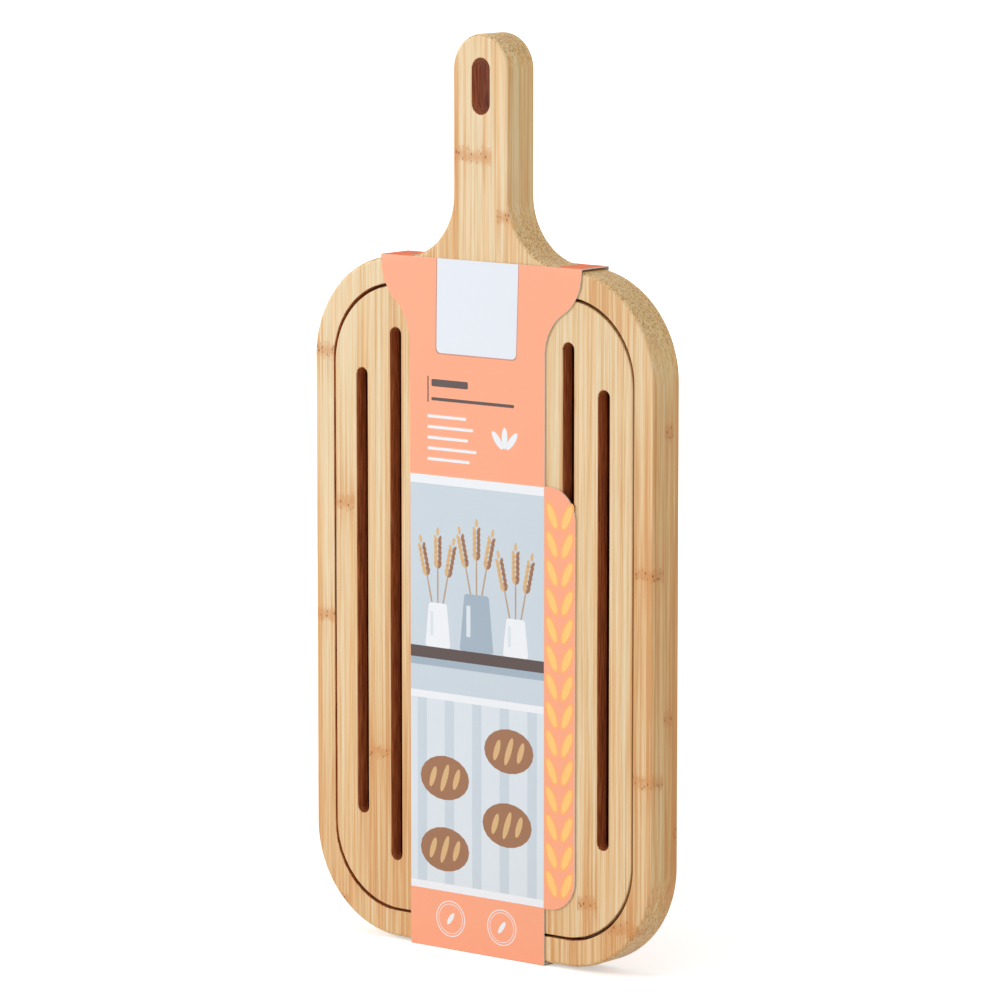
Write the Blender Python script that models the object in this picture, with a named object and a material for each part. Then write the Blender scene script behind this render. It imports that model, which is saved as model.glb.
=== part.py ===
"""Bamboo bread board with a crumb tray under a lift-out slotted grid, in its card sleeve.

The board stands on the sleeve's lower end, handle up (+Z), cutting face towards -Y.
Lengths are in metres.
"""
import math

import bmesh
import bpy

# Outline of the board
BOARD_WIDTH = 0.200
SHOULDER_HEIGHT = 0.323
CORNER_RADIUS = 0.050
HANDLE_WIDTH = 0.0332
HANDLE_STRAIGHT = 0.0574
NECK_FILLET = 0.031
EDGE_ROUND = 0.0018

# The three glued plies, front to back
FRONT_PLY = 0.0069
MIDDLE_PLY = 0.0064
BACK_PLY = 0.0053
PLY_GAP = 0.0003

# Hanging hole in the handle
HANG_HOLE_WIDTH = 0.0103
HANG_HOLE_LENGTH = 0.026
HANG_HOLE_TO_TOP = 0.011
HANG_HOLE_ROUND = 0.0010

# Well that the grid drops into, its ledge and the finger notch at the handle end
RIM_SIDE = 0.01185
RIM_END = 0.0125
LEDGE = 0.006
WELL_EDGE_ROUND = 0.0004
NOTCH_RADIUS = 0.011

# Slotted grid
GRID_SIDE_CLEARANCE = 0.0008
GRID_END_CLEARANCE = 0.0012
GRID_EDGE_ROUND = 0.0005
SLOT_PITCH = 0.0203
SLOT_WIDTH = 0.00636
SLOT_LENGTH = 0.2529
OUTER_SLOT_LENGTH = 0.2123
SLOT_RISE = 0.0018
SLOT_EDGE_ROUND = 0.0006
SLOT_COUNT = 8

# Card sleeve
CARD = 0.0005
CARD_GAP = 0.0003
BAND_WIDTH = 0.0792
BAND_OFFSET = -0.0019
WING_WIDTH = 0.1174
WING_DROP = 0.0063
SHOULDER_DROP = 0.0337
NECK_SLOT_CLEARANCE = 0.0015
FLAP_REACH = 0.0177
FLAP_FOOT = 0.0256
FLAP_HEAD = 0.2228
FLAP_ROUND_WIDTH = 0.0125
FLAP_ROUND_HEIGHT = 0.0260
GLUE_TAB_MARGIN = 0.0040
TAB_END_MARGIN = 0.0008

# Points on each arc
CORNER_STEPS = 14
FILLET_STEPS = 14
HANDLE_STEPS = 18
SLOT_STEPS = 9
NOTCH_STEPS = 12
FLAP_STEPS = 8
ROUND_STEPS = 2
SWEEP_STEPS = 7

# Sizes worked out from those above
THICKNESS = FRONT_PLY + PLY_GAP + MIDDLE_PLY + PLY_GAP + BACK_PLY
FRONT_Y = -THICKNESS / 2
MIDDLE_Y = FRONT_Y + FRONT_PLY + PLY_GAP
BACK_Y = MIDDLE_Y + MIDDLE_PLY + PLY_GAP
REAR_Y = BACK_Y + BACK_PLY
BOARD_FOOT = 2 * CARD + 2 * CARD_GAP
SHOULDER_Z = BOARD_FOOT + SHOULDER_HEIGHT
HALF_BOARD = BOARD_WIDTH / 2
HALF_HANDLE = HANDLE_WIDTH / 2
TOP_Z = SHOULDER_Z + NECK_FILLET + HANDLE_STRAIGHT + HALF_HANDLE
WELL_HALF = HALF_BOARD - RIM_SIDE
WELL_FOOT = BOARD_FOOT + RIM_END
WELL_HEAD = SHOULDER_Z - RIM_END
WELL_RADIUS = CORNER_RADIUS - RIM_SIDE
SLEEVE_TOP = SHOULDER_Z + CARD_GAP + CARD

BAMBOO_FACE = (0.83, 0.62, 0.34, 1.0)
BAMBOO_EDGE = (0.62, 0.45, 0.23, 1.0)
BAMBOO_BACK = (0.78, 0.57, 0.31, 1.0)
BAMBOO_GRID = (0.86, 0.66, 0.38, 1.0)
CARD_FRONT = (0.98, 0.43, 0.25, 1.0)
CARD_BACK = (0.87, 0.29, 0.11, 1.0)


def arc(centre_x, centre_z, radius, start_deg, end_deg, steps, rise=1.0):
    """Points on an arc in the board's plane, both ends included; rise stretches it along Z."""
    points = []
    for step in range(steps + 1):
        angle = math.radians(start_deg + (end_deg - start_deg) * step / steps)
        points.append((centre_x + radius * math.cos(angle), centre_z + radius * rise * math.sin(angle)))
    return points


def mirrored(points):
    """The same points on the other side of the centre line, in the order that closes the outline."""
    return [(-x, z) for x, z in reversed(points)]


def board_outline(inset):
    """Outer edge of the board, drawn in by inset, anticlockwise from the foot."""
    corner_x = HALF_BOARD - CORNER_RADIUS
    fillet_x = HALF_HANDLE + NECK_FILLET
    right = arc(corner_x, BOARD_FOOT + CORNER_RADIUS, CORNER_RADIUS - inset, -90, 0, CORNER_STEPS)
    right += arc(corner_x, SHOULDER_Z - CORNER_RADIUS, CORNER_RADIUS - inset, 0, 90, CORNER_STEPS)
    right += arc(fillet_x, SHOULDER_Z + NECK_FILLET, NECK_FILLET + inset, -90, -180, FILLET_STEPS)
    crown = arc(0.0, TOP_Z - HALF_HANDLE, HALF_HANDLE - inset, 0, 180, HANDLE_STEPS)
    return right + crown + mirrored(right)


def rounded_rectangle(half_width, foot, head, radius, grow):
    """A rectangle with round corners, made larger by grow on every side."""
    corner_x = half_width - radius
    right = arc(corner_x, foot + radius, radius + grow, -90, 0, CORNER_STEPS)
    right += arc(corner_x, head - radius, radius + grow, 0, 90, CORNER_STEPS)
    return right + mirrored(right)


def well_outline(ledge, grow):
    """The well's mouth, drawn in by its ledge, with the finger notch at the handle end."""
    radius = WELL_RADIUS - ledge
    corner_x = WELL_HALF - WELL_RADIUS
    reach = grow - ledge
    notch = NOTCH_RADIUS + grow
    notch_start = math.degrees(math.asin(reach / notch))
    right = arc(corner_x, WELL_FOOT + WELL_RADIUS, radius + grow, -90, 0, CORNER_STEPS)
    right += arc(corner_x, WELL_HEAD - WELL_RADIUS, radius + grow, 0, 90, CORNER_STEPS)
    crown = arc(0.0, WELL_HEAD, notch, notch_start, 180 - notch_start, NOTCH_STEPS)
    return right + crown + mirrored(right)


def slot_outline(centre_x, centre_z, width, length, grow):
    """A slot with full round ends, standing along Z."""
    radius = width / 2
    straight = length / 2 - radius
    head = arc(centre_x, centre_z + straight, radius + grow, 0, 180, SLOT_STEPS)
    foot = arc(centre_x, centre_z - straight, radius + grow, 180, 360, SLOT_STEPS)
    return head + foot


def hang_hole(grow):
    """The hanging hole in the handle."""
    centre_z = TOP_Z - HANG_HOLE_TO_TOP - HANG_HOLE_LENGTH / 2
    return slot_outline(0.0, centre_z, HANG_HOLE_WIDTH, HANG_HOLE_LENGTH, grow)


def edge_levels(front, rear, front_round, rear_round):
    """Pairs of depth and draw-in that round a plate's two edges."""
    levels = []
    for step in range(ROUND_STEPS + 1):
        angle = math.radians(90 * step / ROUND_STEPS)
        levels.append((front + front_round * (1 - math.cos(angle)), front_round * (1 - math.sin(angle))))
        if front_round == 0:
            break
    for step in range(ROUND_STEPS + 1):
        angle = math.radians(90 * step / ROUND_STEPS)
        levels.append((rear - rear_round * (1 - math.sin(angle)), rear_round * (1 - math.cos(angle))))
        if rear_round == 0:
            break
    return levels


def add_wall(mesh, outline, levels):
    """One closed wall through the levels; returns the edges of its front and rear rings."""
    rings = []
    for depth, inset in levels:
        rings.append([mesh.verts.new((x, depth, z)) for x, z in outline(inset)])
    count = len(rings[0])
    for near, far in zip(rings, rings[1:]):
        for index in range(count):
            after = (index + 1) % count
            mesh.faces.new((near[index], near[after], far[after], far[index]))
    ends = []
    for ring in (rings[0], rings[-1]):
        ends.append([mesh.edges.get((ring[i], ring[(i + 1) % count])) for i in range(count)])
    return ends


def make_material(name, colour, roughness):
    """A plain finish in the piece's own colour."""
    material = bpy.data.materials.new(name)
    material.use_nodes = True
    shader = material.node_tree.nodes["Principled BSDF"]
    shader.inputs["Base Color"].default_value = colour
    shader.inputs["Roughness"].default_value = roughness
    shader.inputs["Metallic"].default_value = 0.0
    return material


def make_object(name, mesh, colour, roughness, origin=(0.0, 0.0, 0.0)):
    """An object from a bmesh in world space, with its own origin and finish."""
    bmesh.ops.recalc_face_normals(mesh, faces=mesh.faces)
    bmesh.ops.translate(mesh, verts=mesh.verts, vec=[-value for value in origin])
    data = bpy.data.meshes.new(name)
    mesh.to_mesh(data)
    mesh.free()
    data.materials.append(make_material(name + "_finish", colour, roughness))
    piece = bpy.data.objects.new(name, data)
    piece.location = origin
    bpy.context.scene.collection.objects.link(piece)
    return piece


def plate_mesh(outer, holes, levels, hole_levels):
    """A flat plate with shaped edges: an outer wall, a wall for each hole and two caps."""
    mesh = bmesh.new()
    front, rear = [], []
    outer_front, outer_rear = add_wall(mesh, outer, levels)
    front += outer_front
    rear += outer_rear
    for hole, own_levels in zip(holes, hole_levels):
        hole_front, hole_rear = add_wall(mesh, hole, own_levels)
        front += hole_front
        rear += hole_rear
    for edges in (front, rear):
        bmesh.ops.triangle_fill(mesh, edges=edges, use_beauty=True, use_dissolve=False)
    return mesh


def build_front_ply():
    """The face frame, which runs on into the handle."""
    rear = FRONT_Y + FRONT_PLY
    mesh = plate_mesh(
        board_outline,
        [lambda grow: well_outline(0.0, grow), hang_hole],
        edge_levels(FRONT_Y, rear, EDGE_ROUND, 0),
        [edge_levels(FRONT_Y, rear, WELL_EDGE_ROUND, 0), edge_levels(FRONT_Y, rear, HANG_HOLE_ROUND, 0)],
    )
    return make_object("front_ply", mesh, BAMBOO_FACE, 0.5)


def build_middle_ply():
    """The ply whose smaller opening leaves the ledge and makes the crumb space."""
    rear = MIDDLE_Y + MIDDLE_PLY
    plain = edge_levels(MIDDLE_Y, rear, 0, 0)
    mesh = plate_mesh(board_outline, [lambda grow: well_outline(LEDGE, grow), hang_hole], plain, [plain, plain])
    return make_object("middle_ply", mesh, BAMBOO_EDGE, 0.6)


def build_back_ply():
    """The back, whose inner face is the crumb tray's floor."""
    mesh = plate_mesh(
        board_outline,
        [hang_hole],
        edge_levels(BACK_Y, REAR_Y, 0, EDGE_ROUND),
        [edge_levels(BACK_Y, REAR_Y, 0, HANG_HOLE_ROUND)],
    )
    return make_object("back_ply", mesh, BAMBOO_BACK, 0.55)


def grid_slots():
    """Centre and length of each slot: the two outermost are shorter, to follow the corners."""
    slots = []
    for index in range(SLOT_COUNT):
        centre_x = (index - (SLOT_COUNT - 1) / 2) * SLOT_PITCH
        outermost = index in (0, SLOT_COUNT - 1)
        slots.append((centre_x, OUTER_SLOT_LENGTH if outermost else SLOT_LENGTH))
    return slots


def build_grid():
    """The lift-out grid, flush with the face frame and resting on the ledge."""
    rear = FRONT_Y + FRONT_PLY
    centre_z = (WELL_FOOT + WELL_HEAD) / 2 + SLOT_RISE
    foot = WELL_FOOT + GRID_END_CLEARANCE
    head = WELL_HEAD - GRID_END_CLEARANCE
    half = WELL_HALF - GRID_SIDE_CLEARANCE
    radius = WELL_RADIUS - GRID_SIDE_CLEARANCE
    holes = []
    for centre_x, length in grid_slots():
        holes.append(lambda grow, x=centre_x, size=length: slot_outline(x, centre_z, SLOT_WIDTH, size, grow))
    mesh = plate_mesh(
        lambda inset: rounded_rectangle(half, foot, head, radius, -inset),
        holes,
        edge_levels(FRONT_Y, rear, GRID_EDGE_ROUND, 0),
        [edge_levels(FRONT_Y, rear, SLOT_EDGE_ROUND, 0)] * len(holes),
    )
    return make_object("slotted_grid", mesh, BAMBOO_GRID, 0.5)


def panel_side(foot, side):
    """One side of a sleeve panel, foot to top crease: straight band, swept shoulder, wing."""
    band = BAND_WIDTH / 2 + side * BAND_OFFSET
    wing = WING_WIDTH / 2
    points = [(side * band, foot)]
    sweep_foot = SLEEVE_TOP - SHOULDER_DROP
    sweep_head = SLEEVE_TOP - WING_DROP
    for step in range(SWEEP_STEPS + 1):
        share = step / SWEEP_STEPS
        eased = share * share * (3 - 2 * share)
        points.append((side * (band + (wing - band) * eased), sweep_foot + (sweep_head - sweep_foot) * share))
    points.append((side * wing, SLEEVE_TOP))
    return points


def bread_flap():
    """The flap with round ends that stands out of the front panel's right side, foot to head."""
    base = BAND_WIDTH / 2 + BAND_OFFSET
    tip = base + FLAP_REACH
    corner_x = tip - FLAP_ROUND_WIDTH
    rise = FLAP_ROUND_HEIGHT / FLAP_ROUND_WIDTH
    foot = BOARD_FOOT + FLAP_FOOT
    head = BOARD_FOOT + FLAP_HEAD
    points = [(base, foot)]
    points += arc(corner_x, foot + FLAP_ROUND_HEIGHT, FLAP_ROUND_WIDTH, -90, 0, FLAP_STEPS, rise)
    points += arc(corner_x, head - FLAP_ROUND_HEIGHT, FLAP_ROUND_WIDTH, 0, 90, FLAP_STEPS, rise)
    points.append((base, head))
    return points


def add_plate(mesh, outline, front, rear):
    """A flat piece of card from its outline, between two depths."""
    near = [mesh.verts.new((x, front, z)) for x, z in outline]
    face = mesh.faces.new(near)
    extruded = bmesh.ops.extrude_face_region(mesh, geom=[face])
    moved = [item for item in extruded["geom"] if isinstance(item, bmesh.types.BMVert)]
    bmesh.ops.translate(mesh, verts=moved, vec=(0.0, rear - front, 0.0))


def card_box(name, low, high):
    """A rectangle of card, used to join a panel's folded ends to it."""
    mesh = bmesh.new()
    bmesh.ops.create_cube(mesh, size=1.0)
    for vertex in mesh.verts:
        vertex.co = [low[i] if vertex.co[i] < 0 else high[i] for i in range(3)]
    data = bpy.data.meshes.new(name)
    bmesh.ops.recalc_face_normals(mesh, faces=mesh.faces)
    mesh.to_mesh(data)
    mesh.free()
    box = bpy.data.objects.new(name, data)
    box.hide_render = True
    box.display_type = "WIRE"
    bpy.context.scene.collection.objects.link(box)
    return box


def fold_on(piece, box):
    """Joins a folded end to its panel as one piece of card."""
    joint = piece.modifiers.new(box.name, "BOOLEAN")
    joint.operation = "UNION"
    joint.solver = "EXACT"
    joint.object = box


def build_sleeve_front():
    """The front panel with its bread-shaped flap and the bottom end folded under the board."""
    front = FRONT_Y - CARD_GAP - CARD
    rear = FRONT_Y - CARD_GAP
    right = panel_side(0.0, 1)
    outline = [right[0]] + bread_flap() + right[1:] + [(x, z) for x, z in reversed(panel_side(0.0, -1))]
    mesh = bmesh.new()
    add_plate(mesh, outline, front, rear)
    piece = make_object("sleeve_front", mesh, CARD_FRONT, 0.45, origin=(0.0, front, SLEEVE_TOP))
    low = (-BAND_WIDTH / 2 + BAND_OFFSET, front + CARD / 2, 0.0)
    high = (BAND_WIDTH / 2 + BAND_OFFSET, REAR_Y + CARD_GAP + CARD, CARD)
    fold_on(piece, card_box("bottom_end", low, high))
    return piece


def build_sleeve_back():
    """The back panel, its two top strips beside the neck and the glue tab inside the bottom end."""
    front = REAR_Y + CARD_GAP
    rear = front + CARD
    foot = CARD + CARD_GAP
    outline = panel_side(foot, 1) + [(x, z) for x, z in reversed(panel_side(foot, -1))]
    mesh = bmesh.new()
    add_plate(mesh, outline, front, rear)
    piece = make_object("sleeve_back", mesh, CARD_BACK, 0.5)
    # The neck slot clears the board's fillet at the height of the card's underside.
    rise = NECK_FILLET - CARD_GAP
    flare = math.sqrt(NECK_FILLET * NECK_FILLET - rise * rise)
    slot_half = HALF_HANDLE + NECK_FILLET - flare + NECK_SLOT_CLEARANCE
    for side, word in ((-1, "left"), (1, "right")):
        ends = sorted((side * slot_half, side * (WING_WIDTH / 2)))
        low = (ends[0], FRONT_Y, SLEEVE_TOP - CARD)
        high = (ends[1], front + CARD / 2, SLEEVE_TOP)
        fold_on(piece, card_box("top_strip_" + word, low, high))
    tab_half = BAND_WIDTH / 2 - GLUE_TAB_MARGIN
    low = (BAND_OFFSET - tab_half, FRONT_Y + TAB_END_MARGIN, foot)
    high = (BAND_OFFSET + tab_half, front + CARD / 2, foot + CARD)
    fold_on(piece, card_box("glue_tab", low, high))
    return piece


def main():
    for item in list(bpy.data.objects):
        bpy.data.objects.remove(item, do_unlink=True)
    build_front_ply()
    build_middle_ply()
    build_back_ply()
    build_grid()
    build_sleeve_front()
    build_sleeve_back()


main()
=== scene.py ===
import math

import bmesh
import bpy
from mathutils import Matrix, Vector


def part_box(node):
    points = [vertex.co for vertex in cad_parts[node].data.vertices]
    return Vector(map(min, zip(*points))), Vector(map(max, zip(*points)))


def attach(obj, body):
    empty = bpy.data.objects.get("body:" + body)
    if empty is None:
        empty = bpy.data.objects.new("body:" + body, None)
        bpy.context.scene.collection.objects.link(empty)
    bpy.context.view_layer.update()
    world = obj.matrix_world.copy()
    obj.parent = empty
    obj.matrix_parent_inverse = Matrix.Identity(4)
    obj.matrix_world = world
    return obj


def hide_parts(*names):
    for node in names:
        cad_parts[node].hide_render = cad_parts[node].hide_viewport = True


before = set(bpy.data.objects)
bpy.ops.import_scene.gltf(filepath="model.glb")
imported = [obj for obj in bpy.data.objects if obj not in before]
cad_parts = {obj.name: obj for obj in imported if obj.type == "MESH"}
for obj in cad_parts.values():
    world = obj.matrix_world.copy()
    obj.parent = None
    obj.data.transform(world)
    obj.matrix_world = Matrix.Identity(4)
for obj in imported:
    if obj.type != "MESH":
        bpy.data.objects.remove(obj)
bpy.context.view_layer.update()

frontLow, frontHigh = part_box("front_ply")
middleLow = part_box("middle_ply")[0]
backLow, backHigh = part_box("back_ply")
gridLow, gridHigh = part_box("slotted_grid")
cardLow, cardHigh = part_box("sleeve_front")
wrapLow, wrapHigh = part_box("sleeve_back")

mm = 0.001
hair = 0.01 * mm  # nearer than this, two points are one
over = 3 * mm  # how far a cutter runs past what it cuts
fineSegments = 3  # steps in a rim round of less than a millimetre
rimAngle = math.radians(60)  # an edge turns at least this far where a rim is rounded
foot = frontLow.z


def srgb(code):
    channels = [int(code[i:i + 2], 16) / 255 for i in (1, 3, 5)]
    linear = [c / 12.92 if c <= 0.04045 else ((c + 0.055) / 1.055) ** 2.4 for c in channels]
    return (*linear, 1.0)


# inputs are values or sockets, by name or else in the order of the sockets in use
def feed(node, inputs):
    if isinstance(inputs, dict):
        pairs = [(node.inputs[name], value) for name, value in inputs.items()]
    else:
        pairs = zip([socket for socket in node.inputs if socket.enabled], inputs)
    for socket, value in pairs:
        if isinstance(value, bpy.types.NodeSocket):
            node.id_data.links.new(value, socket)
        else:
            socket.default_value = value


# gives back the new node's first output
def addNode(tree, kind, inputs=(), **settings):
    made = tree.nodes.new("ShaderNode" + kind)
    for name, value in settings.items():
        setattr(made, name, value)
    feed(made, inputs)
    return [socket for socket in made.outputs if socket.enabled][0]


smooth = {"interpolation_type": "SMOOTHSTEP"}


def blank(name):
    material = bpy.data.materials.new(name)
    material.use_nodes = True
    return material, material.node_tree, material.node_tree.nodes["Principled BSDF"]


def setRamp(ramp, places, codes):
    elements = ramp.color_ramp.elements
    while len(elements) < len(places):
        elements.new(1.0)
    for element, place, code in zip(elements, places, codes):
        element.position = place
        element.color = srgb(code)


# Bamboo, laminated from strips with the fibres along the board, planed, sanded and oiled.
# Fibre bundles run the whole length, so the faces show fine streaks and the ends show dots.
# A range holds where a mask starts and ends and, where it has four numbers, its values there.
bamboo = {
    "tones": ("#E8D4AE", "#E2BE8B", "#D1985C"),
    "toneStops": (0.53, 0.62, 0.72),
    # streaks as width, length, offset of the pattern, detail, roughness, weight in the tone
    "layers": {
        "streak": (1.5 * mm, 130 * mm, 0, 4.0, 0.65, 0.42),
        "band": (5.5 * mm, 340 * mm, 7, 2.0, 0.5, 0.21),
        "fine": (0.55 * mm, 60 * mm, 13, 3.0, 0.6, 0.40),
        "cloud": (60 * mm, 160 * mm, 5, 1.0, 0.5, 0.18),
        "warmth": (0.77 * mm, 340 * mm, 17, 3.0, 0.5, 0.0),
    },
    "stripWidth": 20.3 * mm,
    "stripStart": 500 * mm,
    "stripWeight": 0.10,
    "footRange": (340 * mm, 20 * mm, 0.0, 0.045),  # a deeper tone towards the foot
    "rightRange": (-50 * mm, 90 * mm, 0.0, 0.03),  # and towards the right
    "warm": "#F0B97C",
    "warmRange": (0.5, 0.72, 0.0, 0.55),
    # faces turned away from the front are tinted yellower: partly their own tone, partly painted shade of
    # the sides
    "edge": "#FFFAE6",
    "sideShadeRange": (0.85, 0.35, 0.0, 0.9),
    "endGrain": "#E2C084",
    "endRange": (0.18, 0.60),
    "endStrength": 0.6,
    "bundle": "#94692C",
    "bundleSize": (0.8 * mm, 20 * mm, 3),  # width, length, offset of the pattern
    "bundleScatter": 0.9,
    "bundleRange": (0.54, 0.24),
    "bundleOnEnds": 0.74,
    "bundleElsewhere": 0.06,
    "glue": "#B98F58",
    "glueRange": (0.28 * mm, 0.06 * mm, 0.0, 0.55),
    "roughRange": (0.3, 0.7, 0.42, 0.56),
    "bumpStrength": 0.22,
    "bumpDepth": 0.2 * mm,
    "bundleBump": -0.25,
    "ior": 1.5,
}

knuckle = {
    "colour": "#CE8C4C",
    "pore": "#8A4B22",
    "poreSize": (1.7 * mm, 2.72 * mm, 11),  # width, length, offset of the pattern
    "poreRange": (0.36, 0.16, 0.0, 0.85),
    "wobbleScale": 260.0,  # waves in a metre
    "wobble": 6 * mm,
    "sideRange": (-0.2 * mm, 0.6 * mm),
    "coreRange": (4.8 * mm, 0.5 * mm),
    "haloRange": (24 * mm, 0.0),
    "streakRange": (0.40, 0.66, 0.0, 0.60),
    "coreStrength": 0.62,
}


def distanceFrom(tree, value, place):
    offset = addNode(tree, "Math", (value, place), operation="SUBTRACT")
    return addNode(tree, "Math", (offset,), operation="ABSOLUTE")


# A knuckle is where the cane had a joint: a darker patch one strip wide, with open pores.
# Coats are (amount, colour, blend), laid over the ground one after another.
def knuckleCoats(tree, position, streak, pores, knuckles):
    x, y, z = addNode(tree, "SeparateXYZ", (position,)).node.outputs
    wobble = addNode(tree, "TexNoise", {"Vector": position, "Scale": knuckle["wobbleScale"], "Detail": 2.0})
    lifted = addNode(tree, "Math", (wobble, knuckle["wobble"], z), operation="MULTIPLY_ADD")
    masks = [0.0, 0.0]
    for left, right, height in knuckles:
        beside = distanceFrom(tree, x, (left + right) / 2)
        within = addNode(tree, "Math", ((right - left) / 2, beside), operation="SUBTRACT")
        inside = addNode(tree, "MapRange", (within, *knuckle["sideRange"]), **smooth)
        away = distanceFrom(tree, lifted, height + knuckle["wobble"] / 2)
        for index, key in enumerate(("coreRange", "haloRange")):
            near = addNode(tree, "MapRange", (away, *knuckle[key]), **smooth)
            patch = addNode(tree, "Math", (inside, near), operation="MULTIPLY")
            masks[index] = addNode(tree, "Math", (masks[index], patch), operation="MAXIMUM")
    core, halo = masks
    streaky = addNode(tree, "MapRange", (streak, *knuckle["streakRange"]), **smooth)
    haloTone = addNode(tree, "Math", (halo, streaky), operation="MULTIPLY")
    coreTone = addNode(tree, "Math", (core, knuckle["coreStrength"]), operation="MULTIPLY")
    poreDots = addNode(tree, "MapRange", (pores, *knuckle["poreRange"]), **smooth)
    poreTone = addNode(tree, "Math", (poreDots, core), operation="MULTIPLY")
    return [(haloTone, knuckle["colour"], "MIX"), (coreTone, knuckle["colour"], "MIX"),
            (poreTone, knuckle["pore"], "MIX")]


def bambooMaterial(name, shift, knuckles, tint="#FFFFFF", gluePlanes=()):
    material, tree, shader = blank(name)
    coords = addNode(tree, "TexCoord").node.outputs
    x, y, z = addNode(tree, "SeparateXYZ", (coords["Object"],)).node.outputs

    # a pattern's places, drawn out along the fibres
    def stretched(width, length, offset):
        return addNode(tree, "Mapping", {"Vector": coords["Object"], "Location": [shift + offset] * 3,
                                         "Scale": (1 / width, 1 / width, 1 / length)})

    counted = addNode(tree, "Math", (x, bamboo["stripStart"]), operation="ADD")
    counted = addNode(tree, "Math", (counted, bamboo["stripWidth"]), operation="DIVIDE")
    strip = addNode(tree, "Math", (counted,), operation="FLOOR")
    seed = addNode(tree, "Math", (strip, shift), operation="ADD")
    stripTone = addNode(tree, "TexWhiteNoise", {"W": seed}, noise_dimensions="1D")
    weight = bamboo["stripWeight"]
    tone = addNode(tree, "Math", (stripTone, weight, -weight / 2), operation="MULTIPLY_ADD")
    layers = {}
    for key, (width, length, offset, detail, roughness, weight) in bamboo["layers"].items():
        layers[key] = addNode(tree, "TexNoise", {"Vector": stretched(width, length, offset), "Scale": 1.0,
                                                 "Detail": detail, "Roughness": roughness})
        if weight:
            tone = addNode(tree, "Math", (layers[key], weight, tone), operation="MULTIPLY_ADD")
    for place, key in ((z, "footRange"), (x, "rightRange")):
        deeper = addNode(tree, "MapRange", (place, *bamboo[key]), **smooth)
        tone = addNode(tree, "Math", (tone, deeper), operation="ADD")
    colour = addNode(tree, "ValToRGB", (tone,))
    setRamp(colour.node, bamboo["toneStops"], bamboo["tones"])

    # fibre bundles: dots on end grain, faint short streaks elsewhere
    bundle = addNode(tree, "TexVoronoi", {"Vector": stretched(*bamboo["bundleSize"]), "Scale": 1.0,
                                          "Randomness": bamboo["bundleScatter"]})
    dots = addNode(tree, "MapRange", (bundle, *bamboo["bundleRange"]), **smooth)
    facing = addNode(tree, "SeparateXYZ", (coords["Normal"],)).node.outputs
    ends = addNode(tree, "MapRange", (distanceFrom(tree, facing["Z"], 0.0), *bamboo["endRange"]), **smooth)
    # sides, ends and rims turned away from the front get a yellower tint: partly their own tone, partly
    # painted side shade
    edges = addNode(tree, "MapRange", (distanceFrom(tree, facing["Y"], 0.0), *bamboo["sideShadeRange"]), **smooth)
    warmth = addNode(tree, "MapRange", (layers["warmth"], *bamboo["warmRange"]), **smooth)
    endTone = addNode(tree, "Math", (ends, bamboo["endStrength"]), operation="MULTIPLY")
    dotTone = addNode(tree, "Math", (ends, bamboo["bundleOnEnds"], bamboo["bundleElsewhere"]),
                      operation="MULTIPLY_ADD")
    dotTone = addNode(tree, "Math", (dots, dotTone), operation="MULTIPLY")
    coats = [(warmth, bamboo["warm"], "MIX"), (edges, bamboo["edge"], "MULTIPLY"),
             (endTone, bamboo["endGrain"], "MIX"), (dotTone, bamboo["bundle"], "MIX")]
    if knuckles:
        pores = addNode(tree, "TexVoronoi", {"Vector": stretched(*knuckle["poreSize"]), "Scale": 1.0})
        coats += knuckleCoats(tree, coords["Object"], layers["streak"], pores, knuckles)
    for plane in gluePlanes:
        line = addNode(tree, "MapRange", (distanceFrom(tree, y, plane), *bamboo["glueRange"]), **smooth)
        coats.append((line, bamboo["glue"], "MIX"))
    coats.append((1.0, tint, "MULTIPLY"))
    for amount, code, blend in coats:
        colour = addNode(tree, "Mix", (amount, colour, srgb(code)), data_type="RGBA", blend_type=blend)

    rough = addNode(tree, "MapRange", (layers["streak"], *bamboo["roughRange"]), **smooth)
    height = addNode(tree, "Math", (dots, bamboo["bundleBump"], layers["streak"]), operation="MULTIPLY_ADD")
    bump = addNode(tree, "Bump", {"Strength": bamboo["bumpStrength"], "Distance": bamboo["bumpDepth"],
                                  "Height": height})
    feed(shader, {"Base Color": colour, "Roughness": rough, "Normal": bump, "IOR": bamboo["ior"]})
    return material


# Scorched bamboo, cut by a hot router: the walls of slots, well and hanging hole are brown.
scorched = {
    "tones": ("#8C431A", "#CB7A46"),
    "toneStops": (0.35, 0.68),
    "streakWidth": 0.9 * mm,
    "streakLength": 14 * mm,
    "roughness": 0.6,
    "bumpStrength": 0.3,
    "bumpDepth": 0.2 * mm,
}
# The well's floor is bamboo lying in shade under the grid; its darker brown tones here are painted shade.
wellFloorShadeTones = {
    **scorched,
    "tones": ("#5A2A12", "#96592E"),
    "streakWidth": 1.6 * mm,
    "streakLength": 40 * mm,
}


def scorchedMaterial(name, spec):
    material, tree, shader = blank(name)
    width, length = spec["streakWidth"], spec["streakLength"]
    place = addNode(tree, "Mapping", {"Vector": addNode(tree, "TexCoord").node.outputs["Object"],
                                      "Scale": (1 / width, 1 / width, 1 / length)})
    streak = addNode(tree, "TexNoise", {"Vector": place, "Scale": 1.0, "Detail": 4.0})
    colour = addNode(tree, "ValToRGB", (streak,))
    setRamp(colour.node, spec["toneStops"], spec["tones"])
    bump = addNode(tree, "Bump", {"Strength": spec["bumpStrength"], "Distance": spec["bumpDepth"],
                                  "Height": streak})
    feed(shader, {"Base Color": colour, "Roughness": spec["roughness"], "Normal": bump})
    return material


# Coated card, offset printed: even ink with a faint paper tooth and a soft sheen.
card = {
    "toothSize": 0.5 * mm,
    "cloudSize": 35 * mm,
    "bumpStrength": 0.06,
    "bumpDepth": 0.1 * mm,
}


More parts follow.
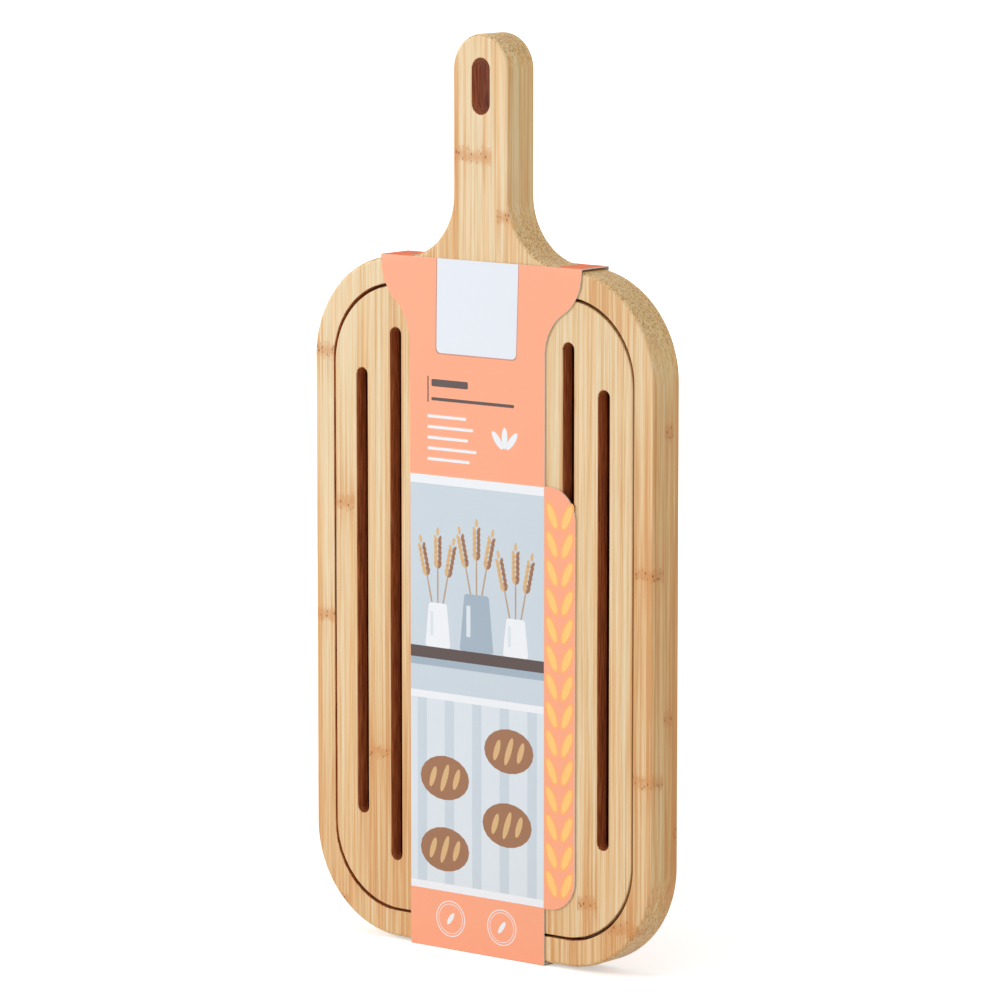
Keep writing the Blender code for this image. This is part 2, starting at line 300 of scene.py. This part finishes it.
def cardMaterial(name, code, roughness=0.42, mottle=0.05, sheen=0.5):
    material, tree, shader = blank(name)
    place = addNode(tree, "TexCoord").node.outputs["Object"]
    tooth = addNode(tree, "TexNoise", {"Vector": place, "Scale": 1 / card["toothSize"], "Detail": 3.0})
    cloud = addNode(tree, "TexNoise", {"Vector": place, "Scale": 1 / card["cloudSize"], "Detail": 2.0})
    shade = addNode(tree, "Math", (tooth, cloud), operation="ADD")
    bright = addNode(tree, "Math", (shade, -mottle, 1 + mottle), operation="MULTIPLY_ADD")
    grey = addNode(tree, "CombineColor", (bright, bright, bright))
    colour = addNode(tree, "Mix", (1.0, srgb(code), grey), data_type="RGBA", blend_type="MULTIPLY")
    bump = addNode(tree, "Bump", {"Strength": card["bumpStrength"], "Distance": card["bumpDepth"],
                                  "Height": tooth})
    feed(shader, {"Base Color": colour, "Roughness": roughness, "Specular IOR Level": sheen, "Normal": bump})
    return material


def addObject(name, bm, materials):
    data = bpy.data.meshes.new(name)
    bm.to_mesh(data)
    bm.free()
    for material in materials:
        data.materials.append(material)
    made = bpy.data.objects.new(name, data)
    bpy.context.scene.collection.objects.link(made)
    return made


def finishPiece(name, bm, materials, body, nodes, sharpAngle=35):
    bm.edges.index_update()
    openEdges = [edge.index for edge in bm.edges if edge.is_boundary]
    piece = addObject(name, bm, materials)
    piece.data.shade_smooth()
    piece.data.set_sharp_from_angle(angle=math.radians(sharpAngle))
    for index in openEdges:  # card and ink get a crisp rim once they have thickness
        piece.data.edges[index].use_edge_sharp = True
    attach(piece, body)
    if nodes:
        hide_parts(*nodes)
    return piece


# corners are (x, z, radius, segments), in order round the outline
def outlineFace(bm, corners, y):
    verts = [bm.verts.new((x, y, z)) for x, z, radius, segments in corners]
    bm.faces.new(verts)
    rounds = {}
    for vertex, (x, z, radius, segments) in zip(verts, corners):
        if radius:
            rounds.setdefault((radius, segments), []).append(vertex)
    for (radius, segments), group in rounds.items():
        bmesh.ops.bevel(bm, geom=group, offset=radius, segments=segments, profile=0.5, affect="VERTICES",
                        material=-1)
    bmesh.ops.remove_doubles(bm, verts=bm.verts, dist=hair)


def rectangle(left, low, right, high, radius, segments):
    return [(x, z, radius, segments) for x, z in ((right, low), (right, high), (left, high), (left, low))]


# a face becomes a closed slab of this depth, along +Y
def deepen(bm, depth):
    grown = bmesh.ops.extrude_face_region(bm, geom=bm.faces[:])
    moved = [item for item in grown["geom"] if isinstance(item, bmesh.types.BMVert)]
    bmesh.ops.translate(bm, verts=moved, vec=(0, depth, 0))
    bmesh.ops.recalc_face_normals(bm, faces=bm.faces)


def slab(bm, corners, near, far):
    outlineFace(bm, corners, near)
    deepen(bm, far - near)


def rimEdges(bm, y):
    edges = []
    for edge in bm.edges:
        if any(abs(vertex.co.y - y) > hair for vertex in edge.verts) or len(edge.link_faces) != 2:
            continue
        if edge.calc_face_angle(0) > rimAngle:
            edges.append(edge)
    return edges


def roundRim(bm, y, width, segments=fineSegments):
    bmesh.ops.bevel(bm, geom=rimEdges(bm, y), offset=width, segments=segments, profile=0.5,
                    affect="EDGES", material=-1)


# cuts the tools out of a bmesh and gives back the result, with the tools' material on the cut walls
def carve(bm, material, tools):
    work = addObject("blank", bm, [material])
    for tool in tools:
        cut = work.modifiers.new("cut", "BOOLEAN")
        cut.operation = "DIFFERENCE"
        cut.solver = "EXACT"
        cut.material_mode = "TRANSFER"
        cut.object = tool
    graph = bpy.context.evaluated_depsgraph_get()
    result = bpy.data.meshes.new_from_object(work.evaluated_get(graph), depsgraph=graph)
    materials = list(result.materials)
    carved = bmesh.new()
    carved.from_mesh(result)
    for item in [work] + tools:
        bpy.data.objects.remove(item, do_unlink=True)
    return carved, materials


def evenNormals(piece):
    weighted = piece.modifiers.new("evenNormals", "WEIGHTED_NORMAL")
    weighted.mode = "FACE_AREA"
    weighted.weight = 100
    weighted.keep_sharp = True


shoulderZ = foot + 323 * mm
roundEndShare = 0.9995  # a round end's radius in the half width, so that its two arcs don't meet
board = {
    "cornerRadius": 50 * mm,
    "cornerSegments": 28,
    "neckFillet": 31 * mm,
    "handleHalf": 16.6 * mm,
    "handleSegments": 18,
    "edgeRound": 1.8 * mm,
    "edgeSegments": 5,
    "holeHalf": 5.15 * mm,
    "holeLow": foot + 391 * mm,
    "holeHigh": foot + 417 * mm,
    "holeSegments": 10,
    "holeRound": 0.9 * mm,
    "wellRound": 0.35 * mm,
    "wellSegments": 24,
    "notchRadius": 11 * mm,
    "notchSegments": 64,
    "rimSide": 11.85 * mm,
    "rimEnd": 12.5 * mm,
    "ledge": 6 * mm,
}


def boardCorners():
    wide, half, top = frontHigh.x, board["handleHalf"], frontHigh.z
    corner = (board["cornerRadius"], board["cornerSegments"])
    right = [(wide, foot, *corner), (wide, shoulderZ, *corner),
             (half, shoulderZ, board["neckFillet"], board["handleSegments"]),
             (half, top, half * roundEndShare, board["handleSegments"])]
    return right + [(-x, z, radius, count) for x, z, radius, count in reversed(right)]


def holeCorners():
    half = board["holeHalf"]
    return rectangle(-half, board["holeLow"], half, board["holeHigh"], half * roundEndShare,
                     board["holeSegments"])


def wellCorners(inset):
    side = frontHigh.x - board["rimSide"] - inset
    low = foot + board["rimEnd"] + inset
    high = shoulderZ - board["rimEnd"] - inset
    radius = board["cornerRadius"] - board["rimSide"] - inset
    return rectangle(-side, low, side, high, radius, board["wellSegments"])


def cutter(corners, near, far):
    bm = bmesh.new()
    slab(bm, corners, near - over, far + over)
    return addObject("cutter", bm, [cutWall])


def notchTool(near, far):
    bm = bmesh.new()
    place = (Matrix.Translation((0, near - over, shoulderZ - board["rimEnd"]))
             @ Matrix.Rotation(math.pi / 2, 4, "X"))
    bmesh.ops.create_circle(bm, cap_ends=True, segments=board["notchSegments"], radius=board["notchRadius"],
                            matrix=place)
    deepen(bm, far - near + 2 * over)
    return addObject("notch", bm, [cutWall])


# knuckles as (left, right, height) in millimetres, from the middle and the foot of the board
def atFoot(entries):
    return [(left * mm, right * mm, foot + height * mm) for left, right, height in entries]


frontKnuckles = atFoot([(-17, 6.5, 372), (9, 17, 345), (-101, -87.6, 276), (-101, -87.6, 150),
                        (-101, -80, 14), (87.6, 101, 187), (70, 92, 22), (88, 101, 92)])
coreKnuckles = atFoot([(90, 101, 252), (90, 101, 120), (-101, -90, 212), (-101, -90, 80)])
gridKnuckles = atFoot([(-87.6, -75.5, 205), (-68, -54, 88), (48, 55, 262), (56, 68, 31)])
backKnuckles = atFoot([(-60, -40.5, 240), (-20, 0.5, 118), (40.6, 61, 184), (81, 101, 66),
                       (-101, -81, 110), (0, 20.3, 290), (-17, 4, 380)])

cutWall = scorchedMaterial("routerScorchedBamboo", scorched)
# darker brown on the well's floor: painted shade
shadedWellFloor = scorchedMaterial("paintedShadeWellFloor", wellFloorShadeTones)
faceBamboo = bambooMaterial("oiledBambooFace", 2, frontKnuckles, gluePlanes=(middleLow.y,))
coreBamboo = bambooMaterial("oiledBambooCore", 31, coreKnuckles, "#FBF7EE", (middleLow.y, backLow.y))
backBamboo = bambooMaterial("oiledBambooBack", 57, backKnuckles, "#FFFCF6", (backLow.y,))
gridBamboo = bambooMaterial("oiledBambooGrid", 83, gridKnuckles)


def buildFrontPly():
    bm = bmesh.new()
    near, far = frontLow.y, middleLow.y
    slab(bm, boardCorners(), near, far)
    roundRim(bm, near, board["edgeRound"], board["edgeSegments"])
    tools = [cutter(wellCorners(0), near, far), cutter(holeCorners(), near, far), notchTool(near, far)]
    bm, materials = carve(bm, faceBamboo, tools)
    roundRim(bm, near, board["wellRound"])
    evenNormals(finishPiece("faceFrame", bm, materials, "tray", ["front_ply"]))
    print("face frame and handle")


def buildMiddlePly():
    bm = bmesh.new()
    near, far = middleLow.y, backLow.y
    slab(bm, boardCorners(), near, far)
    tools = [cutter(wellCorners(board["ledge"]), near, far), cutter(holeCorners(), near, far),
             notchTool(near, far)]
    bm, materials = carve(bm, coreBamboo, tools)
    finishPiece("coreLayer", bm, materials, "tray", ["middle_ply"])
    print("core layer with the ledge")


def buildBackPly():
    bm = bmesh.new()
    near, far = backLow.y, backHigh.y
    slab(bm, boardCorners(), near, far)
    roundRim(bm, far, board["edgeRound"], board["edgeSegments"])
    bm, materials = carve(bm, backBamboo, [cutter(holeCorners(), near, far)])
    roundRim(bm, far, board["holeRound"])
    # the tray's floor gets the darker brown tones: painted shade, for bamboo lying in shade under the grid
    for face in bm.faces:
        if face.normal.y < -math.cos(rimAngle):  # the side under the well, which is the tray's floor
            face.material_index = len(materials)
    evenNormals(finishPiece("trayBack", bm, materials + [shadedWellFloor], "tray", ["back_ply"]))
    print("back and tray floor")


grid = {
    "slotPitch": 20.3 * mm,
    "slotHalf": 3.18 * mm,
    "slotCount": 8,
    "slotSegments": 8,
    "longSlot": 252.9 * mm,
    "outerSlot": 212.3 * mm,
    "slotRise": 1.8 * mm,
    "slotRound": 0.55 * mm,
    "cornerRadius": 38.4 * mm,
    "cornerSegments": 24,
}


def buildGrid():
    bm = bmesh.new()
    near, far = gridLow.y, gridHigh.y
    corners = rectangle(gridLow.x, gridLow.z, gridHigh.x, gridHigh.z, grid["cornerRadius"],
                        grid["cornerSegments"])
    slab(bm, corners, near, far)
    middle = (gridLow.z + gridHigh.z) / 2 + grid["slotRise"]
    half = grid["slotHalf"]
    last = grid["slotCount"] - 1
    tools = []
    for index in range(grid["slotCount"]):
        x = (index - last / 2) * grid["slotPitch"]
        reach = (grid["outerSlot"] if index in (0, last) else grid["longSlot"]) / 2
        tools.append(cutter(rectangle(x - half, middle - reach, x + half, middle + reach,
                                      half * roundEndShare, grid["slotSegments"]), near, far))
    bm, materials = carve(bm, gridBamboo, tools)
    roundRim(bm, near, grid["slotRound"])
    evenNormals(finishPiece("slottedGrid", bm, materials, "grid", ["slotted_grid"]))
    print("slotted grid")


sleeve = {
    "card": 0.5 * mm,
    "printRoom": 0.03 * mm,
    "foldRadius": 0.8 * mm,
    "foldSteps": 5,
    "bandLeft": -41.5 * mm,
    "bandRight": 37.7 * mm,
    "wing": 58.7 * mm,
    "sweepLow": 28.5 * mm,
    "sweepHigh": 15 * mm,
    "sweepLean": 1.4 * mm,
    "sweepRound": 11 * mm,
    "shoulderRound": 8.8 * mm,
    "sweepSegments": 10,
    "neckSlot": 43.7 * mm,
    "flapReach": 17.7 * mm,
    "flapFoot": 25.6 * mm,
    "flapHead": 222.8 * mm,
    "flapRound": 15 * mm,
    "flapSegments": 12,
    "backTurnIn": 1 * mm,
}

cardCore = cardMaterial("whiteCardCore", "#F3EEE8", 0.7)
salmonInk = cardMaterial("salmonInkOnCard", "#FBA781")
# The back panel and its top strip are the same salmon card as the front; their deeper orange is painted
# shade, since the top strip lies darker than the front.
shadedOrangeInk = cardMaterial("orangeInkWithPaintedShade", "#EE7440", 0.6, sheen=0.15)
whiteInk = cardMaterial("bareWhiteCard", "#EDF0F4", 0.4, 0.02)


# draws edges out by each move in turn and gives back the last ones
def runOn(bm, edges, moves):
    for move in moves:
        grown = bmesh.ops.extrude_edge_only(bm, edges=edges)["geom"]
        moved = [item for item in grown if isinstance(item, bmesh.types.BMVert)]
        bmesh.ops.translate(bm, verts=moved, vec=move)
        edges = [item for item in grown if isinstance(item, bmesh.types.BMEdge)
                 and abs(item.verts[0].co.z - item.verts[1].co.z) < hair / 10
                 and abs(item.verts[0].co.y - item.verts[1].co.y) < hair / 10]
    return edges


# a quarter fold as small steps, from running along Z to running along Y
def foldMoves(alongZ, alongY):
    radius, steps = sleeve["foldRadius"], sleeve["foldSteps"]
    moves = []
    for step in range(steps):
        first, last = (math.pi / 2 * step / steps, math.pi / 2 * (step + 1) / steps)
        moves.append((0, alongY * radius * (math.cos(first) - math.cos(last)),
                      alongZ * radius * (math.sin(last) - math.sin(first))))
    return moves


def panelCorners(low, high, withFlap):
    left, right, wing = sleeve["bandLeft"], sleeve["bandRight"], sleeve["wing"]
    sweep = (sleeve["sweepRound"], sleeve["sweepSegments"])
    shoulder = (sleeve["shoulderRound"], sleeve["sweepSegments"])
    flap = (sleeve["flapRound"], sleeve["flapSegments"])
    sweepLow, sweepHigh = cardHigh.z - sleeve["sweepLow"], cardHigh.z - sleeve["sweepHigh"]
    corners = [(left, low, 0, 0), (right, low, 0, 0)]
    if withFlap:
        tip = right + sleeve["flapReach"]
        flapLow, flapHigh = foot + sleeve["flapFoot"], foot + sleeve["flapHead"]
        corners += [(right, flapLow, 0, 0), (tip, flapLow, *flap), (tip, flapHigh, *flap),
                    (right, flapHigh, 0, 0)]
    shoulderX = wing - sleeve["sweepLean"]
    corners += [(right, sweepLow, *sweep), (shoulderX, sweepHigh, *shoulder), (wing, high, 0, 0)]
    corners += [(sleeve["neckSlot"], high, 0, 0), (-sleeve["neckSlot"], high, 0, 0)]
    corners += [(-wing, high, 0, 0), (-shoulderX, sweepHigh, *shoulder), (left, sweepLow, *sweep)]
    return corners


def edgesAt(bm, z, low=-math.inf, high=math.inf):
    return [edge for edge in bm.edges if all(abs(vertex.co.z - z) < hair / 10 and low <= vertex.co.x <= high
                                             for vertex in edge.verts)]


# the edges that run on: at the top beside the neck, behind the neck, and at the bottom
def creases(bm, low, high):
    inner, outer = sleeve["neckSlot"] - hair, sleeve["neckSlot"] + hair
    return (edgesAt(bm, high, low=inner) + edgesAt(bm, high, high=-inner),
            edgesAt(bm, high, -outer, outer), edgesAt(bm, low))


def thicken(piece):
    shell = piece.modifiers.new("cardThickness", "SOLIDIFY")
    shell.thickness = sleeve["card"]
    shell.offset = -1
    shell.use_even_offset = True
    shell.material_offset = 1
    shell.material_offset_rim = 1


def faceOut(bm, outward):
    bmesh.ops.recalc_face_normals(bm, faces=bm.faces)
    largest = max(bm.faces, key=lambda face: face.calc_area())
    if largest.normal.y * outward < 0:
        bmesh.ops.reverse_faces(bm, faces=bm.faces)


def buildSleeveFront():
    bm = bmesh.new()
    radius = sleeve["foldRadius"]
    y = cardLow.y + sleeve["printRoom"]
    low, high = cardLow.z + radius, cardHigh.z - radius
    outlineFace(bm, panelCorners(low, high, True), y)
    tops, neck, bottom = creases(bm, low, high)
    runOn(bm, tops, foldMoves(1, 1))
    runOn(bm, neck, [(0, 0, radius)])
    last = runOn(bm, bottom, foldMoves(-1, 1))
    runOn(bm, last, [(0, cardHigh.y - y - radius, 0)])
    faceOut(bm, -1)
    thicken(finishPiece("sleeveFront", bm, [salmonInk, cardCore], "sleeve", ["sleeve_front"],
                        60))
    print("sleeve, front panel")
    return y


def buildSleeveBack():
    bm = bmesh.new()
    radius = sleeve["foldRadius"]
    y = wrapHigh.y
    low, high = wrapLow.z + radius, wrapHigh.z - radius
    outlineFace(bm, panelCorners(low, high, False), y)
    tops, neck, bottom = creases(bm, low, high)
    last = runOn(bm, tops, foldMoves(1, -1))
    runOn(bm, last, [(0, frontLow.y - y + radius, 0)])
    runOn(bm, neck, [(0, 0, radius)])
    last = runOn(bm, bottom, foldMoves(-1, -1))
    runOn(bm, last, [(0, frontLow.y - y + radius + sleeve["backTurnIn"], 0)])
    faceOut(bm, 1)
    # the back panel's deeper orange ink is painted shade
    thicken(finishPiece("sleeveBack", bm, [shadedOrangeInk, cardCore], "tray", ["sleeve_back"],
                        60))
    print("sleeve, back panel")


# Printed fields on the front panel: flat layers of ink, each a little in front of the one below
inks = {
    "white": whiteInk,
    "sky": cardMaterial("blueGreyInk", "#C9D4DD"),
    "mist": cardMaterial("paleBlueInk", "#DBE3E9"),
    "slate": cardMaterial("slateInk", "#9FB0BE"),
    "tan": cardMaterial("tanInk", "#B59679"),
    "wheat": cardMaterial("wheatInk", "#D9B07A"),
    "crust": cardMaterial("crustInk", "#9B6A47"),
    "gold": cardMaterial("goldInk", "#FFC873"),
    "amber": cardMaterial("amberInk", "#FFAE66"),
    "charcoal": cardMaterial("charcoalInk", "#4C3A36"),
    "label": cardMaterial("labelWhite", "#E4E9F1", 0.32, 0.01),
    "shade": cardMaterial("labelShadeInk", "#C98B76"),
}
inkNames = list(inks)
layerStep = 0.007 * mm

# places and sizes on the panel in millimetres, from the middle and the foot of the board
art = {
    "left": -41.3,
    "right": 37.5,
    "bands": [(26.0, 29.6), (116.9, 120.4), (218.2, 222.4)],
    "upper": (120.2, 218.4),
    "shelf": (136.0, 141.5),
    "shelfShade": 3.5,
    "jugs": [(-25, 15, 21, "white"), (-2, 20, 27, "slate"), (21, 15, 18, "white")],
    "jugRound": 1.5,
    "jugTopShare": 0.36,
    "gleamShares": (0.30, 0.18, 0.25, 0.8),  # of the jug's width, and of its height
    "gleamRound": 0.6,
    "stalkLeans": (-13, 0, 12),
    "stalkSpread": 30,
    "earRise": 18,
    "earDrop": 0.3,  # for each degree of lean
    "earSize": 11,
    "stalkWidth": 0.9,
    "stalkShares": (0.9, 2.3),  # of the ear's size: how far below it, and how long
    "grainRows": 6,
    "grainLean": 24,
    "grainStepShares": (0.22, 0.11),  # up from row to row, and aside
    "grainShares": (0.34, 0.16),  # length and width
    "tipPlaceShare": 1.42,
    "tipShares": (0.36, 0.15),
    "lower": (29.4, 117.1),
    "stripes": (-34.5, -18.2, -1.9, 14.4, 30.7),
    "stripeWidth": 5.5,
    "buns": [(-21, 46), (16, 62), (-21, 80), (17, 97)],
    "bunSize": (21, 29),
    "slashes": [(-7, 10.5), (0, 14), (7, 10.5)],
    "slashWidth": 3.2,
    "slashTurn": 18,
    "rules": [(-31.0, 256.6, -30.3, 268.6, 0), (-28.6, 264.0, -7, 267.4, 0.8),
              (-28.6, 257.4, 20, 258.9, 0.5)],
    "lines": (23, 27, 24, 29, 25),
    "linePlace": (-31, 250),
    "lineStep": 5,
    "lineHalf": 0.7,
    "lineRound": 0.5,
    "sprig": [(10.32, 241.86, -38), (14.5, 243, 0), (18.68, 241.86, 38)],
    "sprigSize": (10, 3.4),
    "badges": [(-17.6, 13.2), (12.9, 13.2)],
    "badgeRings": [(8.6, 0.45), (7.2, 0.3)],
    "badgeLeaf": (7, 2.4, 35),
    "labelShade": [(-26.3, 279.2, 2.5), (21.6, 279.2, 2.5), (22.9, 323.7, 0), (-25.6, 323.7, 0)],
    "label": [(-25.6, 279.8, 2.5), (21.1, 279.8, 2.5), (22.5, 323.78, 0), (-25.0, 323.78, 0)],
    "leafPairs": 14,
    "leafFoot": 38,
    "leafStep": 13.2,
    "leafCentre": 46.5,
    "leafAside": 4.4,
    "leafLean": 24,
    "leafInks": [("amber", 14.5, 5.8), ("gold", 12, 3.8)],
}
roundSegments = 8
ovalSegments = 20
ringSegments = 48


def joinPart(bm, part, ink):
    bmesh.ops.recalc_face_normals(part, faces=part.faces)
    for face in part.faces:
        if face.normal.y > 0:
            face.normal_flip()
        face.material_index = inkNames.index(ink)
    data = bpy.data.meshes.new("field")
    part.to_mesh(data)
    part.free()
    bm.from_mesh(data)
    bpy.data.meshes.remove(data)


def printField(bm, y, layer, ink, corners):
    part = bmesh.new()
    outlineFace(part, [(x * mm, foot + z * mm, radius * mm, roundSegments) for x, z, radius in corners],
                y - layer * layerStep)
    joinPart(bm, part, ink)


def upright(y, layer, x, z, turn=0, width=1, length=1):
    return (Matrix.Translation((x * mm, y - layer * layerStep, foot + z * mm))
            @ Matrix.Rotation(math.radians(turn), 4, "Y") @ Matrix.Diagonal((width * mm, 1, length * mm, 1))
            @ Matrix.Rotation(math.pi / 2, 4, "X"))


def oval(bm, y, layer, ink, x, z, length, width, turn):
    part = bmesh.new()
    bmesh.ops.create_circle(part, cap_ends=True, segments=ovalSegments, radius=0.5,
                            matrix=upright(y, layer, x, z, turn, width, length))
    joinPart(bm, part, ink)


def ring(bm, y, layer, ink, x, z, radius, line):
    part = bmesh.new()
    for size in (radius, radius - line):
        bmesh.ops.create_circle(part, segments=ringSegments, radius=size, matrix=upright(y, layer, x, z))
    bmesh.ops.bridge_loops(part, edges=part.edges)
    joinPart(bm, part, ink)


def box(x0, z0, x1, z1, radius=0):
    return [(x0, z0, radius), (x1, z0, radius), (x1, z1, radius), (x0, z1, radius)]


def wheatEar(bm, y, layer, x, z, lean):
    size = art["earSize"]
    turn = math.radians(lean)
    place = Vector((x, z))
    along = Vector((math.sin(turn), math.cos(turn))) * size
    across = Vector((along.y, -along.x))
    below, long = art["stalkShares"]
    stalk = place - along * below
    oval(bm, y, layer, "tan", stalk.x, stalk.y, size * long, art["stalkWidth"], lean)
    up, aside = art["grainStepShares"]
    length, width = (size * share for share in art["grainShares"])
    for row in range(art["grainRows"]):
        for side, ink, lift in ((-1, "wheat", 2), (1, "crust", 1)):
            spot = place + along * row * up + across * side * aside
            oval(bm, y, layer + lift, ink, spot.x, spot.y, length, width, lean + side * art["grainLean"])
    tip = place + along * art["tipPlaceShare"]
    length, width = (size * share for share in art["tipShares"])
    oval(bm, y, layer + 2, "wheat", tip.x, tip.y, length, width, lean)


# a shelf with jugs of wheat before a pale wall
def upperPicture(bm, y):
    left, right = art["left"], art["right"]
    wallLow, wallHigh = art["upper"]
    low, high = art["shelf"]
    printField(bm, y, 1, "sky", box(left, wallLow, right, wallHigh))
    printField(bm, y, 2, "charcoal", box(left, low, right, high))
    printField(bm, y, 2, "slate", box(left, low - art["shelfShade"], right, low))
    nearSide, farSide, gleamLow, gleamHigh = art["gleamShares"]
    for x, width, height, ink in art["jugs"]:
        for lean in art["stalkLeans"]:
            spread = math.sin(math.radians(lean)) * art["stalkSpread"]
            wheatEar(bm, y, 2, x + spread, high + height + art["earRise"] - abs(lean) * art["earDrop"], lean)
        half, top, corner = width / 2, width * art["jugTopShare"], art["jugRound"]
        printField(bm, y, 3, ink, [(x - half, high, corner), (x + half, high, corner),
                                   (x + top, high + height, corner), (x - top, high + height, corner)])
        printField(bm, y, 4, "mist", box(x - width * nearSide, high + height * gleamLow, x - width * farSide,
                                         high + height * gleamHigh, art["gleamRound"]))


# round buns on a striped cloth
def lowerPicture(bm, y):
    low, high = art["lower"]
    half = art["stripeWidth"] / 2
    printField(bm, y, 1, "mist", box(art["left"], low, art["right"], high))
    for x in art["stripes"]:
        printField(bm, y, 2, "sky", box(x - half, low, x + half, high))
    for x, z in art["buns"]:
        oval(bm, y, 3, "crust", x, z, *art["bunSize"], 0)
        for aside, length in art["slashes"]:
            oval(bm, y, 4, "wheat", x + aside, z, length, art["slashWidth"], art["slashTurn"])


# the words' places hold plain rules, and the badges' places plain rings
def plainRules(bm, y):
    for rule in art["rules"]:
        printField(bm, y, 1, "charcoal", box(*rule))
    x, top = art["linePlace"]
    for index, width in enumerate(art["lines"]):
        z = top - art["lineStep"] * index
        printField(bm, y, 1, "white", box(x, z - art["lineHalf"], x + width, z + art["lineHalf"],
                                          art["lineRound"]))
    for x, z, lean in art["sprig"]:
        oval(bm, y, 1, "white", x, z, *art["sprigSize"], lean)
    for x, z in art["badges"]:
        for radius, line in art["badgeRings"]:
            ring(bm, y, 1, "white", x, z, radius, line)
        oval(bm, y, 1, "white", x, z, *art["badgeLeaf"])


# leaves in pairs along the side flap
def flapLeaves(bm, y):
    for index in range(art["leafPairs"]):
        z = art["leafFoot"] + index * art["leafStep"]
        for side in (-1, 1):
            for layer, (ink, length, width) in enumerate(art["leafInks"], 1):
                oval(bm, y, layer, ink, art["leafCentre"] + side * art["leafAside"], z, length, width,
                     side * art["leafLean"])


def buildPrint(y):
    bm = bmesh.new()
    upperPicture(bm, y)
    lowerPicture(bm, y)
    for low, high in art["bands"]:
        printField(bm, y, 4, "white", box(art["left"], low, art["right"], high))
    plainRules(bm, y)
    printField(bm, y, 1, "shade", art["labelShade"])
    printField(bm, y, 2, "label", art["label"])
    flapLeaves(bm, y)
    piece = finishPiece("sleevePrint", bm, list(inks.values()), "sleeve", [], 60)
    film = piece.modifiers.new("inkThickness", "SOLIDIFY")
    film.thickness = layerStep / 2
    film.offset = -1
    print("print on the front panel")


studio = {
    "yaw": 38.23,
    "pitch": 8.22,
    "distance": 2.503,
    "targetX": 11.24 * mm,
    "targetZ": 214.1 * mm,
    "lens": 195.7,
    "worldGlow": 0.60,
    "lampAim": (0, 0, 0.2),
    "keyPlace": (-1.75, -1.55, 1.0),
    "keySize": 0.8,
    "key": 26.0,
    "topPlace": (0.3, -0.3, 2.2),
    "topSize": 1.0,
    "top": 6.0,
    "floorColour": "#F2F2F2",
    "floorRoughness": 0.9,
    "floorSize": 30.0,
    "floorGlow": 0.46,
    "floorNear": 0.5,
    "floorFar": 1.3,
}


def buildCamera():
    yaw, pitch = math.radians(studio["yaw"]), math.radians(studio["pitch"])
    away = Vector((math.sin(yaw) * math.cos(pitch), -math.cos(yaw) * math.cos(pitch), math.sin(pitch)))
    target = Vector((studio["targetX"], frontLow.y, foot + studio["targetZ"]))
    data = bpy.data.cameras.new("camera")
    data.lens = studio["lens"]
    camera = bpy.data.objects.new("camera", data)
    camera.location = target + away * studio["distance"]
    camera.rotation_euler = (math.pi / 2 - pitch, 0, yaw)
    bpy.context.scene.collection.objects.link(camera)
    bpy.context.scene.camera = camera


def areaLight(name, place, size, power):
    data = bpy.data.lights.new(name, "AREA")
    data.shape = "DISK"
    data.size = size
    data.energy = power
    lamp = bpy.data.objects.new(name, data)
    lamp.location = place
    lamp.rotation_euler = (Vector(studio["lampAim"]) - Vector(place)).to_track_quat("-Z", "Y").to_euler()
    bpy.context.scene.collection.objects.link(lamp)


# 1 where the camera, a gloss or a see-through surface looks, and 0 for the light on the object
def seenWhite(tree):
    path = addNode(tree, "LightPath").node.outputs
    seen = addNode(tree, "Math", (path["Is Camera Ray"], path["Is Glossy Ray"]), operation="MAXIMUM")
    return addNode(tree, "Math", (seen, path["Is Transmission Ray"]), operation="MAXIMUM")


def buildStudio():
    world = bpy.data.worlds.new("studio")
    world.use_nodes = True
    bpy.context.scene.world = world
    tree = world.node_tree
    white = srgb("#FFFFFF")
    glow = studio["worldGlow"]
    strength = addNode(tree, "Math", (seenWhite(tree), 1 - glow, glow), operation="MULTIPLY_ADD")
    feed(tree.nodes["Background"], {"Color": white, "Strength": strength})

    # matt white card floor, seen pure white outside the object's shadow
    material, tree, shader = blank("mattWhiteFloor")
    place = addNode(tree, "TexCoord").node.outputs["Object"]
    reach = addNode(tree, "VectorMath", (place,), operation="LENGTH")
    fade = (studio["floorNear"], studio["floorFar"], studio["floorGlow"], 1.0)
    level = addNode(tree, "MapRange", (reach, *fade), **smooth)
    seen = addNode(tree, "Math", (seenWhite(tree), level), operation="MULTIPLY")
    feed(shader, {"Base Color": srgb(studio["floorColour"]), "Roughness": studio["floorRoughness"],
                  "Emission Color": white, "Emission Strength": seen})
    bm = bmesh.new()
    bmesh.ops.create_grid(bm, x_segments=1, y_segments=1, size=studio["floorSize"])
    addObject("floor", bm, [material])

    areaLight("keyLight", studio["keyPlace"], studio["keySize"], studio["key"])
    areaLight("topLight", studio["topPlace"], studio["topSize"], studio["top"])
    bpy.context.scene.view_settings.view_transform = "Standard"
    print("studio")


buildCamera()
buildStudio()
buildFrontPly()
buildMiddlePly()
buildBackPly()
buildGrid()
panelY = buildSleeveFront()
buildSleeveBack()
buildPrint(panelY)
